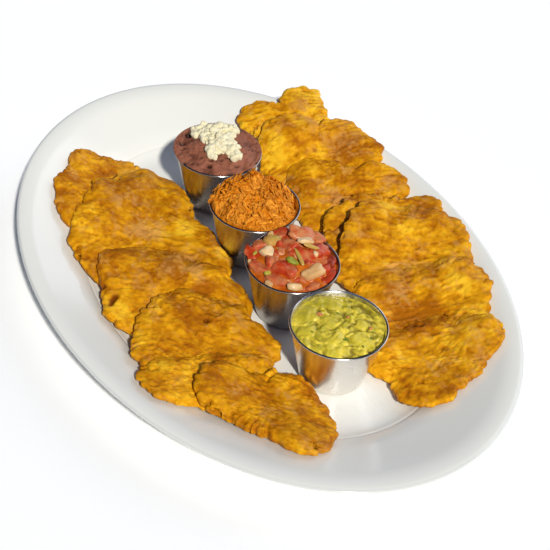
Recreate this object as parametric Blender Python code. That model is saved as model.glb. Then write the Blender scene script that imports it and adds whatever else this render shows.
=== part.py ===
"""Tostones shingled in two rows on an oval platter, with four cups of toppings down the middle.

Sizes are in millimetres and are turned to metres when a mesh is written. +Z is up. The origin is on
the table under the middle of the platter, and +X runs along the platter's long axis. The left row
lies towards -Y and the right row towards +Y.
"""

import bpy
import bmesh
import numpy as np

MM = 0.001
GAP = 0.3                     # air left between two pieces that touch

# Oval platter: a flat well, a concave crease and a wide rim that ends in a thin lip.
PLATTER_LENGTH = 424.0
PLATTER_WIDTH = 304.0
PLATTER_HEIGHT = 26.0
WELL_FLOOR = 5.0              # top of the well's floor
WELL_SHARE = 0.70             # the well's edge, as a share of the platter's half-length
LIP_SHARE = 0.985             # where the rim is highest
CREASE_SHARE = 0.18           # share of the rim's width over which the crease turns up
RIM_WALL = 4.5                # thickness of the rim
WELL_UNDERSIDE = 1.8
PLATTER_TOP_SHARES = (0.36, WELL_SHARE, 0.73, 0.76, 0.82, 0.90, LIP_SHARE)
PLATTER_LIP = ((1.0, PLATTER_HEIGHT - 1.5), (0.992, PLATTER_HEIGHT - 3.5))         # share, height
PLATTER_UNDER_SHARES = (0.90, 0.80)
PLATTER_FOOT = ((0.725, 2.2), (0.68, 0.0), (0.64, 0.0), (0.62, WELL_UNDERSIDE))   # share, height
PLATTER_SIDES = 60

# Pressed steel sauce cups, standing in a row along the well.
CUP_HEIGHT = 42.0
CUP_TOP_RADIUS = 31.0         # over the rolled bead
CUP_BASE_RADIUS = 20.7
CUP_WALL = 0.8
CUP_HEEL = 1.6                # how far the rounded corner at the base runs in and up
CUP_NECK = 1.8                # height below the top at which the wall turns out into the bead
BEAD_RADIUS = 0.8
CUP_SIDES = 28
CUP_BOTTOM = WELL_FLOOR + GAP
CUPS = {
    "beans": (-90.0, 12.0),
    "meat": (-27.0, 7.4),
    "pico": (35.1, 1.4),
    "guacamole": (97.4, -1.3),
}

# Toppings in the cups: level at the wall below the cup's top, height of the heap above that level,
# how blunt the heap is, where it leans to, and the height of its lumps.
TOPPINGS = {
    "beans": dict(node="refried_beans", level=-0.8, heap=5.0, blunt=2.0, lean=(0.0, 0.0), lumps=0.5),
    "meat": dict(node="shredded_meat", level=-0.5, heap=16.0, blunt=3.4, lean=(-0.12, 0.10), lumps=1.3),
    "pico": dict(node="pico_de_gallo", level=-3.5, heap=9.0, blunt=2.2, lean=(-0.30, 0.28), lumps=1.5),
    "guacamole": dict(node="guacamole", level=-3.2, heap=1.8, blunt=2.4, lean=(0.10, -0.05), lumps=0.8),
}
TOPPING_SIDES = 24
TOPPING_SHARES = (0.25, 0.5, 0.74, 0.92)      # rings on the heap, as shares of the cup's inner radius
TOPPING_HEIGHTS = (3.0, 1.4)                  # rings lower down the wall, from the cup's base
TOPPING_LOW_INSET = 1.6                       # extra room for the cup's rounded heel in the last ring

# Crumbled cheese on the beans: middle from the cup's axis, reach every 45 degrees from +X, height.
CHEESE_MIDDLE = (-5.0, 5.0)
CHEESE_REACH = (23.0, 16.0, 17.0, 20.0, 23.0, 22.0, 14.0, 16.0)
CHEESE_HEIGHT = 6.0
CHEESE_SIDES = 16
CHEESE_BED = 0.9                              # height of its underside above the beans
CHEESE_RINGS = (                              # share of the reach, lift above the beans
    (0.4, CHEESE_HEIGHT), (0.75, 0.85 * CHEESE_HEIGHT), (0.95, 0.5 * CHEESE_HEIGHT), (1.0, 2.2),
    (0.92, CHEESE_BED), (0.6, CHEESE_BED), (0.3, CHEESE_BED),
)

# Tostones: each slice's middle, thickness, how far its edge leans up against the cups, and its reach
# every 30 degrees from +X. Each row is laid from the far end (-X), each slice on the one before.
LEFT_ROW = (
    ((-114, -67), 8.0, 0.0, (34, 33, 35, 43, 46, 40, 42, 31, 32, 35, 44, 47)),
    ((-59, -56), 9.0, 7.0, (59, 68, 51, 38, 51, 66, 63, 52, 52, 55, 56, 49)),
    ((2, -68), 8.0, 1.0, (39, 51, 54, 45, 34, 38, 50, 56, 46, 46, 43, 38)),
    ((45, -68), 9.0, 1.0, (35, 43, 52, 41, 40, 37, 42, 43, 42, 46, 45, 34)),
    ((84, -79), 8.0, 0.0, (19, 20, 28, 45, 28, 15, 15, 22, 43, 43, 27, 24)),
    ((118, -56), 9.0, 0.0, (46, 44, 37, 32, 37, 32, 28, 48, 47, 31, 26, 28)),
)
RIGHT_ROW = (
    ((-132, 94), 8.0, 0.0, (31, 31, 30, 31, 38, 29, 18, 28, 39, 31, 27, 30)),
    ((-89, 96), 8.0, 0.0, (34, 43, 48, 41, 41, 26, 38, 47, 42, 45, 40, 33)),
    ((-49, 95), 8.0, 0.0, (27, 41, 46, 39, 22, 21, 32, 44, 42, 40, 45, 30)),
    ((-3, 100), 8.0, 0.0, (23, 33, 43, 41, 28, 25, 30, 33, 42, 45, 34, 24)),
    ((30, 95), 8.5, 0.0, (40, 50, 46, 49, 44, 42, 48, 44, 44, 53, 46, 38)),
    ((82, 79), 8.5, 0.0, (33, 46, 41, 51, 46, 28, 32, 40, 50, 50, 40, 31)),
    ((124, 59), 9.0, 0.0, (30, 30, 34, 51, 36, 28, 25, 38, 46, 34, 42, 39)),
)
ROWS = (("left", LEFT_ROW), ("right", RIGHT_ROW))
LEAN_SPREAD = 45.0                   # distance from a slice's middle over which its lean grows
SLICE_SIDES = 26
TOP_SHARES = (0.42, 0.76, 0.93)      # rings on a slice's top, as shares of its reach
BOTTOM_SHARES = (0.93, 0.72, 0.38)
EDGE_POWER = 5.0                     # how square a slice's rounded edge is
LAY_GAP = 0.8                        # room left between two slices, so no facets meet
CUP_CLEARANCE = 1.3                  # room left between a slice and a cup
GRID_STEP = 2.5                      # spacing of the height map that the slices are laid on
SAG_STEPS = 70                       # smoothing passes: a slice bridges hollows about 15 mm wide
SAG_MARGIN = 1.12                    # the map is settled a little beyond the outline, as a share of it

COLOURS = {
    "glazed_china": ((0.80, 0.81, 0.78), 0.12, 0.0),
    "steel": ((0.62, 0.62, 0.62), 0.18, 1.0),
    "fried_plantain": ((0.64, 0.29, 0.03), 0.55, 0.0),
    "beans": ((0.20, 0.08, 0.06), 0.6, 0.0),
    "cheese": ((0.86, 0.84, 0.62), 0.6, 0.0),
    "meat": ((0.72, 0.20, 0.02), 0.5, 0.0),
    "pico": ((0.62, 0.12, 0.06), 0.3, 0.0),
    "guacamole": ((0.50, 0.46, 0.04), 0.45, 0.0),
}


def make_material(name):
    colour, roughness, metallic = COLOURS[name]
    material = bpy.data.materials.new(name)
    material.use_nodes = True
    shader = material.node_tree.nodes["Principled BSDF"]
    shader.inputs["Base Color"].default_value = (*colour, 1.0)
    shader.inputs["Roughness"].default_value = roughness
    shader.inputs["Metallic"].default_value = metallic
    return material


def add_object(name, mesh_builder, material, sharp_angle=40.0):
    """Write a bmesh to a new object, smooth but for edges sharper than the angle."""
    mesh = bpy.data.meshes.new(name)
    mesh_builder.to_mesh(mesh)
    mesh_builder.free()
    mesh.materials.append(material)
    mesh.shade_smooth()
    mesh.set_sharp_from_angle(angle=np.radians(sharp_angle))
    item = bpy.data.objects.new(name, mesh)
    bpy.context.collection.objects.link(item)
    return item


def loft(name, start, rings, end, material):
    """Closed solid through rings of points, counter-clockwise from above and listed from the top pole
    down the outside to the bottom pole."""
    builder = bmesh.new()
    first = builder.verts.new(np.asarray(start) * MM)
    loops = [[builder.verts.new(point) for point in ring * MM] for ring in rings]
    last = builder.verts.new(np.asarray(end) * MM)
    count = len(loops[0])
    for i in range(count):
        j = (i + 1) % count
        builder.faces.new((first, loops[0][i], loops[0][j]))
        for upper, lower in zip(loops, loops[1:]):
            builder.faces.new((upper[i], lower[i], lower[j], upper[j]))
        builder.faces.new((last, loops[-1][j], loops[-1][i]))
    return add_object(name, builder, material)


def turns(count):
    return np.arange(count) * 2.0 * np.pi / count


def smooth_step(t):
    t = np.clip(t, 0.0, 1.0)
    return t * t * (3.0 - 2.0 * t)


def reach_at(reaches, angle):
    """Smooth closed outline through evenly turned reaches (Catmull-Rom)."""
    reaches = np.asarray(reaches, float)
    count = len(reaches)
    place = angle / (2.0 * np.pi) % 1.0 * count
    index = place.astype(int) % count
    t = place - np.floor(place)
    before, here, after, beyond = (reaches[(index + k) % count] for k in (-1, 0, 1, 2))
    bend = (2 * before - 5 * here + 4 * after - beyond) * t**2
    twist = (3 * here - before - 3 * after + beyond) * t**3
    return 0.5 * (2 * here + (after - before) * t + bend + twist)


# Platter

def platter_share(x, y):
    """0 at the middle, 1 at the outer edge of the oval."""
    return np.hypot(x / (PLATTER_LENGTH / 2), y / (PLATTER_WIDTH / 2))


def platter_top(share):
    """Height of the upper face: flat well, crease, then a rim that flattens towards its lip."""
    t = np.clip((share - WELL_SHARE) / (LIP_SHARE - WELL_SHARE), 0.0, 1.0)
    rise = (1.25 * t - 0.25 * t**3) * smooth_step(t / CREASE_SHARE)
    return WELL_FLOOR + (PLATTER_HEIGHT - WELL_FLOOR) * rise


def oval_ring(share, height):
    angle = turns(PLATTER_SIDES)
    x = PLATTER_LENGTH / 2 * share * np.cos(angle)
    y = PLATTER_WIDTH / 2 * share * np.sin(angle)
    return np.stack([x, y, np.full_like(x, height)], axis=1)


def make_platter(material):
    upper = tuple((share, platter_top(share)) for share in PLATTER_TOP_SHARES)
    under = tuple((share, platter_top(share) - RIM_WALL) for share in PLATTER_UNDER_SHARES)
    rings = [oval_ring(share, height) for share, height in upper + PLATTER_LIP + under + PLATTER_FOOT]
    return loft("platter", (0, 0, WELL_FLOOR), rings, (0, 0, WELL_UNDERSIDE), material)


# Cups and their toppings

def cup_radius(height):
    """Outer radius of a cup's wall at a height above the platter's well."""
    return CUP_BASE_RADIUS + (CUP_TOP_RADIUS - BEAD_RADIUS - CUP_BASE_RADIUS) * height / CUP_HEIGHT


def make_cup(name, middle, material):
    """Spin the wall's section, from the base's middle up the outside, over the bead and down inside."""
    bead = CUP_TOP_RADIUS - BEAD_RADIUS
    neck = CUP_HEIGHT - CUP_NECK
    inner_heel = CUP_HEEL + CUP_WALL
    section = [
        (0.0, 0.0), (CUP_BASE_RADIUS - CUP_HEEL, 0.0), (cup_radius(CUP_HEEL), CUP_HEEL),
        (cup_radius(neck), neck), (CUP_TOP_RADIUS, CUP_HEIGHT - BEAD_RADIUS),
        (bead + BEAD_RADIUS / 2, CUP_HEIGHT), (bead - BEAD_RADIUS / 2, CUP_HEIGHT),
        (cup_radius(neck) - CUP_WALL, neck),
        (cup_radius(inner_heel) - CUP_WALL, inner_heel), (CUP_BASE_RADIUS - inner_heel, CUP_WALL),
        (0.0, CUP_WALL),
    ]
    builder = bmesh.new()
    line = [builder.verts.new((radius * MM, 0.0, height * MM)) for radius, height in section]
    edges = [builder.edges.new(pair) for pair in zip(line, line[1:])]
    bmesh.ops.spin(builder, geom=line + edges, cent=(0, 0, 0), axis=(0, 0, 1), angle=2 * np.pi,
                   steps=CUP_SIDES, use_merge=True)
    bmesh.ops.remove_doubles(builder, verts=builder.verts, dist=1e-6)
    bmesh.ops.recalc_face_normals(builder, faces=builder.faces)
    cup = add_object(name, builder, material)
    cup.location = (middle[0] * MM, middle[1] * MM, CUP_BOTTOM * MM)
    return cup


def heap_height(topping, x, y):
    """Top of a topping at a place from its cup's axis, above the cup's base: a blunt dome that leans to
    one side, with lumps about 9 mm across from crossed waves."""
    radius = CUP_TOP_RADIUS - 2.0
    share = np.clip(np.hypot(x, y) / radius, 0.0, 1.0)
    dome = (1.0 - share ** topping["blunt"]) * topping["heap"]
    lean = 1.0 + (topping["lean"][0] * x + topping["lean"][1] * y) / radius * 2.0
    wave = np.sin(x * 0.31 + y * 0.17 + 1.0) * np.cos(y * 0.37 - x * 0.12)
    return CUP_HEIGHT + topping["level"] + dome * lean + topping["lumps"] * wave * (1.0 - share**4)


def make_topping(topping, middle, material):
    angle = turns(TOPPING_SIDES)
    level = CUP_HEIGHT + topping["level"]
    rings = []
    for share in TOPPING_SHARES:
        radius = (cup_radius(level) - CUP_WALL) * share
        x, y = radius * np.cos(angle), radius * np.sin(angle)
        rings.append(np.stack([x, y, heap_height(topping, x, y)], axis=1))
    low = TOPPING_HEIGHTS[-1]
    for height in (level - 0.5, *TOPPING_HEIGHTS):
        radius = cup_radius(height) - CUP_WALL - 2 * GAP - (TOPPING_LOW_INSET if height == low else 0.0)
        x, y = radius * np.cos(angle), radius * np.sin(angle)
        rings.append(np.stack([x, y, np.full_like(x, height)], axis=1))
    top = (0.0, 0.0, float(heap_height(topping, 0.0, 0.0)))
    heap = loft(topping["node"], top, rings, (0, 0, low), material)
    heap.location = (middle[0] * MM, middle[1] * MM, CUP_BOTTOM * MM)
    return heap


def make_cheese(middle, material):
    """A low heap of crumbs whose underside follows the beans."""
    beans = TOPPINGS["beans"]
    angle = turns(CHEESE_SIDES)
    reach = reach_at(CHEESE_REACH, angle)

    def ring(share, lift):
        x = CHEESE_MIDDLE[0] + reach * share * np.cos(angle)
        y = CHEESE_MIDDLE[1] + reach * share * np.sin(angle)
        return np.stack([x, y, heap_height(beans, x, y) + lift], axis=1)

    rings = [ring(share, lift) for share, lift in CHEESE_RINGS]
    x, y = CHEESE_MIDDLE
    base = float(heap_height(beans, x, y))
    top, bottom = (x, y, base + CHEESE_HEIGHT), (x, y, base + CHEESE_BED)
    heap = loft("crumbled_cheese", top, rings, bottom, material)
    heap.location = (middle[0] * MM, middle[1] * MM, CUP_BOTTOM * MM)
    return heap


# Tostones

GRID_X = np.arange(-220.0, 220.0 + GRID_STEP, GRID_STEP)
GRID_Y = np.arange(-160.0, 160.0 + GRID_STEP, GRID_STEP)
MAP_X, MAP_Y = np.meshgrid(GRID_X, GRID_Y, indexing="ij")
SHIFTS = ((1, 0), (-1, 0), (1, 1), (-1, 1))


def read_map(heights, x, y):
    """Height between the map's points, by bilinear interpolation."""
    u = (x - GRID_X[0]) / GRID_STEP
    v = (y - GRID_Y[0]) / GRID_STEP
    i, j = u.astype(int), v.astype(int)
    s, t = u - i, v - j
    near = heights[i, j] * (1 - t) + heights[i, j + 1] * t
    far = heights[i + 1, j] * (1 - t) + heights[i + 1, j + 1] * t
    return near * (1 - s) + far * s


def widen(heights):
    """Each point takes the highest value beside it, so that flat facets stay clear."""
    wide = heights
    for shift, axis in SHIFTS:
        wide = np.maximum(wide, np.roll(heights, shift, axis))
    return wide


def settle(bed, covered):
    """Underside of a limp slab over a bed: smoothed again and again, and never below the bed."""
    under = bed.copy()
    share = covered.astype(float)
    weight = np.maximum(sum(np.roll(share, *shift) for shift in SHIFTS), 1.0)
    for _ in range(SAG_STEPS):
        mean = sum(np.roll(under * share, *shift) for shift in SHIFTS) / weight
        under = np.where(covered, np.maximum(bed, 0.5 * (under + mean)), bed)
    return under


def edge_height(share):
    """Half-thickness of a slice with a rounded edge: 1 in the middle, 0 at its outline."""
    return np.sqrt(1.0 - np.clip(share, 0.0, 1.0) ** EDGE_POWER)


def keep_off_cups(points):
    """Push points that come too near a cup's wall straight away from its axis."""
    for middle in CUPS.values():
        away = points[:, :2] - middle
        distance = np.linalg.norm(away, axis=1)
        least = cup_radius(points[:, 2] - WELL_FLOOR) + CUP_CLEARANCE
        push = np.maximum(least / distance, 1.0)
        points[:, :2] = middle + away * push[:, None]
    return points


def make_slice(name, middle, thickness, lean, reaches, support, material):
    """Lay one slice on the support map, and return the map with the slice's top added."""
    from_x, from_y = MAP_X - middle[0], MAP_Y - middle[1]
    share = np.hypot(from_x, from_y) / reach_at(reaches, np.arctan2(from_y, from_x))
    towards_cups = -np.sign(middle[1]) * from_y / LEAN_SPREAD
    under = settle(widen(support) + LAY_GAP, share < SAG_MARGIN)
    under = under + lean * smooth_step((towards_cups + 1.0) / 2.0)
    angle = turns(SLICE_SIDES)
    reach = reach_at(reaches, angle)

    def ring(ring_share, side):
        x = middle[0] + reach * ring_share * np.cos(angle)
        y = middle[1] + reach * ring_share * np.sin(angle)
        lift = thickness / 2 * (1.0 + side * edge_height(ring_share))
        return keep_off_cups(np.stack([x, y, read_map(under, x, y) + lift], axis=1))

    rings = [ring(s, 1) for s in TOP_SHARES] + [ring(1.0, 0)] + [ring(s, -1) for s in BOTTOM_SHARES]
    x, y = np.array([middle[0]]), np.array([middle[1]])
    base = float(read_map(under, x, y)[0])
    loft(name, (*middle, base + thickness), rings, (*middle, base), material)
    top = under + thickness / 2 * (1.0 + edge_height(share))
    return np.where(share < 1.0, np.maximum(support, top), support)


def build():
    for item in list(bpy.data.objects):
        bpy.data.objects.remove(item, do_unlink=True)
    materials = {name: make_material(name) for name in COLOURS}
    make_platter(materials["glazed_china"])
    for filling, middle in CUPS.items():
        make_cup("cup_" + filling, middle, materials["steel"])
        make_topping(TOPPINGS[filling], middle, materials[filling])
    make_cheese(CUPS["beans"], materials["cheese"])
    for row, slices in ROWS:
        support = platter_top(np.minimum(platter_share(MAP_X, MAP_Y), 1.0))
        for number, sizes in enumerate(slices, start=1):
            name = f"toston_{row}_{number}"
            support = make_slice(name, *sizes, support, materials["fried_plantain"])


build()
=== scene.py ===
"""Looks of a restaurant platter of tostones: fried plantain slices shingled in two rows on an oval
china platter, and four steel sauce cups of beans, shredded meat, tomato salsa and guacamole.

Sizes are in millimetres and are turned to metres as a mesh is written; materials, the camera and the
table are in metres. +X runs along the platter's long axis and +Z is up. Every piece rides on the one
body, "root".
"""

import bpy
import numpy as np
from mathutils import Matrix, Vector


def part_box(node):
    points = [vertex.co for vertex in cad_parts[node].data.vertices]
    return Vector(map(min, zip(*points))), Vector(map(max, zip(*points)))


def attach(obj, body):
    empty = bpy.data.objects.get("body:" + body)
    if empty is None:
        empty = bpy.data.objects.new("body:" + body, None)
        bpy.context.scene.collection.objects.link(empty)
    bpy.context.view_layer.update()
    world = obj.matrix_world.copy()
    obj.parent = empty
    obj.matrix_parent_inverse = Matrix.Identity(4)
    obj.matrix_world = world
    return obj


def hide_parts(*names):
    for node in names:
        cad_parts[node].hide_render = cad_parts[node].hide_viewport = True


MM = 0.001

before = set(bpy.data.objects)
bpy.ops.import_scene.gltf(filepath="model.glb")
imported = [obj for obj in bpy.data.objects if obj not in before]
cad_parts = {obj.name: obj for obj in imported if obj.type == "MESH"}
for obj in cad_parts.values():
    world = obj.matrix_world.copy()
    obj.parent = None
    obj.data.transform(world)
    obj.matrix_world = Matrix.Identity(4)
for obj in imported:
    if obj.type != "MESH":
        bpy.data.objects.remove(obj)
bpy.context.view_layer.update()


# Glazed china platter. White restaurant china, slip-cast and glazed but for its foot ring: a flat oval
# well, a concave crease and a wide rim that flattens towards a thin rounded lip.

low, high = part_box("platter")
PLATTER_HALF_LENGTH = (high[0] - low[0]) / 2 / MM
PLATTER_HALF_WIDTH = (high[1] - low[1]) / 2 / MM
PLATTER_HEIGHT = high[2] / MM
WELL_FLOOR = 5.0
WELL_UNDERSIDE = 1.8
RIM_WALL = 4.5
LIP_RADIUS = 1.2
# The upper face's slope in degrees at shares of the half-length: flat well, crease, rim and lip.
FACE_SHARES = (0.63, 0.67, 0.70, 0.72, 0.724, 0.726, 0.730, 0.735, 0.742, 0.775, 0.80, 0.92, 0.965, 0.985)
FACE_SLOPES = (0.0, 4.0, 14.0, 24.0, 24.0, 12.0, 12.0, 40.0, 26.0, 22.0, 18.0, 17.5, 6.0, 1.0)
LIP_SHARE = FACE_SHARES[-1]
CREASE = (0.62, 0.80)         # the shares between which the face bends most, and has close rows
# share and height of the underside, from the end of the rim over the foot ring and in to the middle
FOOT_SECTION = ((0.725, 2.6), (0.705, 1.6), (0.69, 0.4), (0.68, 0.0), (0.64, 0.0), (0.632, 0.4),
                (0.622, 1.5), (0.60, WELL_UNDERSIDE), (0.3, WELL_UNDERSIDE), (0.0, WELL_UNDERSIDE))
PLATTER_SIDES = 320


def linear(code):
    """An sRGB hex colour as linear red, green, blue and alpha."""
    srgb = np.array([int(code[i:i + 2], 16) for i in (0, 2, 4)]) / 255.0
    light = np.where(srgb <= 0.04045, srgb / 12.92, ((srgb + 0.055) / 1.055) ** 2.4)
    return (*light.tolist(), 1.0)


def add(tree, kind, sources=(), out=0, **settings):
    """Add one shader node, set its own settings, feed its inputs from values, hex colours or other
    sockets, and give back one of its outputs."""
    node = tree.nodes.new("ShaderNode" + kind)
    for key, value in settings.items():
        setattr(node, key, value)
    for key, source in dict(sources).items():
        if isinstance(source, bpy.types.NodeSocket):
            tree.links.new(source, node.inputs[key])
        else:
            node.inputs[key].default_value = linear(source) if isinstance(source, str) else source
    return node.outputs[out]


def new_finish(name, **sockets):
    """A material with one Principled shader, whose sockets are set by name with _ for a space, with
    its node tree and the object's own coordinates in metres."""
    material = bpy.data.materials.new(name)
    material.use_nodes = True
    tree = material.node_tree
    for key, value in sockets.items():
        tree.nodes["Principled BSDF"].inputs[key.replace("_", " ")].default_value = value
    return material, tree, add(tree, "TexCoord", out="Object")


def dressed(material, tone, coats, height, strength, distance, rough=None):
    """The material with its colour, a first tone under coats that each have a share and a colour, its
    bump from a height, and its roughness where that varies."""
    tree = material.node_tree
    for share, coat in coats:
        tone = add(tree, "Mix", {0: share, 6: tone, 7: coat}, 2, data_type="RGBA")
    bump = add(tree, "Bump", {"Height": height, "Strength": strength, "Distance": distance})
    for key, source in (("Base Color", tone), ("Normal", bump), ("Roughness", rough)):
        if source is not None:
            tree.links.new(source, tree.nodes["Principled BSDF"].inputs[key])
    return material


def skins(name, stacks, material, attributes=()):
    """One mesh at the origin of closed skins. Each stack of rings (ring, side, 3), in millimetres,
    turns left seen from above and runs from the top pole down the outside to the lower pole, and its
    first and last ring each close to one point. An attribute has one grid or number for each stack."""
    points, faces, values = [], [], {key: [] for key in dict(attributes)}
    start = 0
    for number, rings in enumerate(stacks):
        count, sides = rings.shape[:2]
        here = np.arange(sides)
        there = (here + 1) % sides
        down = start + 1 + sides * np.arange(count - 3)[:, None]
        walls = np.stack([down + here, down + here + sides, down + there + sides, down + there], axis=-1)
        last = start + 1 + sides * (count - 2)
        cap = np.stack([0 * here + start, start + 1 + here, start + 1 + there], axis=-1)
        foot = np.stack([0 * here + last, last - sides + there, last - sides + here], axis=-1)
        faces += cap.tolist() + walls.reshape(-1, 4).tolist() + foot.tolist()
        points += [rings[0].mean(axis=0)[None], rings[1:-1].reshape(-1, 3), rings[-1].mean(axis=0)[None]]
        for key, given in dict(attributes).items():
            grid = np.broadcast_to(given[number], (count, sides))
            values[key] += [grid[0, :1], grid[1:-1].ravel(), grid[-1, :1]]
        start = last + 1
    mesh = bpy.data.meshes.new(name)
    mesh.from_pydata((np.concatenate(points) * MM).tolist(), [], faces)
    for key, parts in values.items():
        data = np.concatenate(parts).astype(np.float32)
        mesh.attributes.new(key, "FLOAT", "POINT").data.foreach_set("value", data)
    mesh.materials.append(material)
    mesh.shade_smooth()
    piece = bpy.data.objects.new(name, mesh)
    bpy.context.collection.objects.link(piece)
    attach(piece, "root")
    return piece


def turns(count):
    """Angles evenly spaced round a circle."""
    return np.arange(count) * 2.0 * np.pi / count


def polar(radius, angle):
    """x and y from a distance and a heading."""
    return radius * np.cos(angle), radius * np.sin(angle)


def as_points(x, y, z):
    """Points from their coordinates, which may be numbers, rows or grids."""
    return np.stack(np.broadcast_arrays(x, y, z), axis=-1)


def platter_share(x, y):
    """0 at the platter's middle, 1 at its outer edge."""
    return np.hypot(x / PLATTER_HALF_LENGTH, y / PLATTER_HALF_WIDTH)


face_share = np.linspace(0.0, LIP_SHARE, 600)
face_slope = np.tan(np.radians(np.interp(face_share, FACE_SHARES, FACE_SLOPES)))
face_rise = np.cumsum(face_slope) / np.sum(face_slope)


def platter_top(share):
    """Height of the upper face: its slope summed from the middle out, scaled to the platter's height."""
    return WELL_FLOOR + (PLATTER_HEIGHT - WELL_FLOOR) * np.interp(share, face_share, face_rise)


def platter_rings():
    """The section from the well's middle out over the lip and back under, scaled round the oval. The
    lip is a half circle between the two faces, and the foot ring a low rounded ridge."""
    upper = np.concatenate([np.linspace(0.0, CREASE[0], 8)[:-1], np.linspace(*CREASE, 60),
                            np.linspace(CREASE[1] + 0.01, LIP_SHARE, 26)])
    round_lip = np.linspace(0.0, np.pi, 11)[1:]
    lip_share = LIP_SHARE + (1.0 - LIP_SHARE) * np.sin(round_lip)
    lip_height = PLATTER_HEIGHT - LIP_RADIUS * (1.0 - np.cos(round_lip))
    under = np.linspace(0.97, 0.74, 16)
    foot = np.array(FOOT_SECTION)
    share = np.concatenate([upper, lip_share, under, foot[:, 0]])
    height = np.concatenate([platter_top(upper), lip_height, platter_top(under) - RIM_WALL, foot[:, 1]])
    x, y = polar(share[:, None], turns(PLATTER_SIDES))
    return as_points(PLATTER_HALF_LENGTH * x, PLATTER_HALF_WIDTH * y, height[:, None])


def glazed_china():
    """White glaze: a clear glassy layer over an off-white body, so a sharp highlight on a flat colour.
    Forks leave fine grey marks in the well, and a grey line is painted along the lip as shade at its edge."""
    material, tree, place = new_finish("glazed_china", Roughness=0.14, IOR=1.5)
    marks = 0.0
    for turn in (0.4, 1.5, 2.5):
        lined = add(tree, "Mapping", {"Vector": place, "Rotation": (0, 0, turn), "Scale": (60, 900, 60)})
        line = add(tree, "TexNoise", {"Vector": lined, "Scale": 1.0, "Detail": 1.0})
        mark = add(tree, "MapRange", {0: line, 1: 0.67, 2: 0.74})
        marks = add(tree, "Math", {0: marks, 1: mark}, operation="MAXIMUM")
    height = add(tree, "SeparateXYZ", {0: place}, "Z")
    in_well = add(tree, "MapRange", {0: height, 1: 0.0058, 2: 0.0052, 4: 0.16})
    worn = add(tree, "Math", {0: marks, 1: in_well}, operation="MULTIPLY")
    oval = (1 / PLATTER_HALF_LENGTH / MM, 1 / PLATTER_HALF_WIDTH / MM, 0.0)
    share = add(tree, "VectorMath", {0: place, 1: oval}, operation="MULTIPLY")
    share = add(tree, "VectorMath", {0: share}, "Value", operation="LENGTH")
    # the lip is painted greyer, as shade at the platter's edge
    thin = add(tree, "MapRange", {0: share, 1: 0.988, 2: 0.994, 4: 0.6})
    drift = add(tree, "TexNoise", {"Vector": place, "Scale": 9.0, "Detail": 2.0})
    wave = add(tree, "TexNoise", {"Vector": place, "Scale": 22.0, "Detail": 1.0})
    coats = (drift, "E2E1DA"), (worn, "A3A39C"), (thin, "C8CAC8")
    return dressed(material, "E9E8E1", coats, wave, 0.05, 0.002)


platter = skins("platter_china", [platter_rings()], glazed_china())
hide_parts("platter")


# Steel sauce cups. Deep-drawn stainless, polished, with a thin wall, a flat base and the top edge rolled
# outwards into a bead, whose top has a painted dark line for shade and dark reflection. They stand loose
# in a row along the well, and three of the four are painted darker for the darker reflections they show.

CUP_WALL = 0.8
CUP_BEAD = 0.8                # radius of the rolled edge
CUP_BASE_RADIUS = 20.7
CUP_SIDES = 144
CUP_PAINTED_DARKNESS = {"beans": 1.0, "meat": 0.8, "pico": 1.0, "guacamole": 0.0}      # 0 the bright steel, 1 steel painted darker for the darker reflections the cup shows
PAINTED_SHADE_SIDE = np.radians(-34.0)           # heading of the middle of the painted dark line on the bead, from +X, towards the camera

cups = {}
for filling in CUP_PAINTED_DARKNESS:
    low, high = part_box("cup_" + filling)
    middle = (np.array(low) + np.array(high)) / 2 / MM
    cups[filling] = dict(x=middle[0], y=middle[1], base=low[2] / MM, top=high[2] / MM)
CUP_HEIGHT = cups["beans"]["top"] - cups["beans"]["base"]
CUP_TOP_RADIUS = (high[0] - low[0]) / 2 / MM


def smooth_step(t):
    """0 below t = 0, 1 above t = 1, and 3 t^2 - 2 t^3 between."""
    t = np.clip(t, 0.0, 1.0)
    return t * t * (3.0 - 2.0 * t)


def cup_radius(height):
    """Outer radius of the straight tapered wall at a height above the cup's base."""
    return CUP_BASE_RADIUS + (CUP_TOP_RADIUS - CUP_BEAD - CUP_BASE_RADIUS) * height / CUP_HEIGHT


def cup_rings(cup):
    """The wall's section spun round, listed from the inner floor's middle up the inside, over a round
    bead, down the outside and under the base, and a dark line painted as shade and dark reflection on
    the bead's top but for its far side."""
    bead = CUP_TOP_RADIUS - CUP_BEAD
    floor = [(0.0, CUP_WALL), (9.0, CUP_WALL), (CUP_BASE_RADIUS - 2.6, CUP_WALL),
             (CUP_BASE_RADIUS - 1.4, CUP_WALL + 0.6)]
    inner = [(cup_radius(h) - CUP_WALL, h) for h in np.linspace(2.6, CUP_HEIGHT - 2.0, 16)]
    curl = np.linspace(np.pi * 0.95, -np.pi * 0.6, 15)
    rolled = [(bead + CUP_BEAD * np.cos(a), CUP_HEIGHT - CUP_BEAD + CUP_BEAD * np.sin(a)) for a in curl]
    outer = [(cup_radius(h), h) for h in np.linspace(CUP_HEIGHT - 2.0, 1.8, 22)]
    heel = [(CUP_BASE_RADIUS - 0.1, 0.7), (CUP_BASE_RADIUS - 0.7, 0.15), (CUP_BASE_RADIUS - 1.7, 0.0),
            (CUP_BASE_RADIUS - 4.0, 0.0), (CUP_BASE_RADIUS - 5.0, 0.45), (8.0, 0.45), (0.0, 0.45)]
    section = np.array(floor + inner + rolled + outer + heel)
    on_top = np.zeros((len(section), 1))
    # a dark line painted on the bead's top, as shade and dark reflection
    on_top[len(floor) + len(inner):][:len(curl), 0] = smooth_step(1.3 - np.abs(curl - 1.75))
    angle = turns(CUP_SIDES)
    painted_rim_shade = on_top * smooth_step((np.cos(angle - PAINTED_SHADE_SIDE) + 0.55) / 0.4)
    x, y = polar(section[:, :1], angle)
    return as_points(cup["x"] + x, cup["y"] + y, cup["base"] + section[:, 1:]), painted_rim_shade


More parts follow.
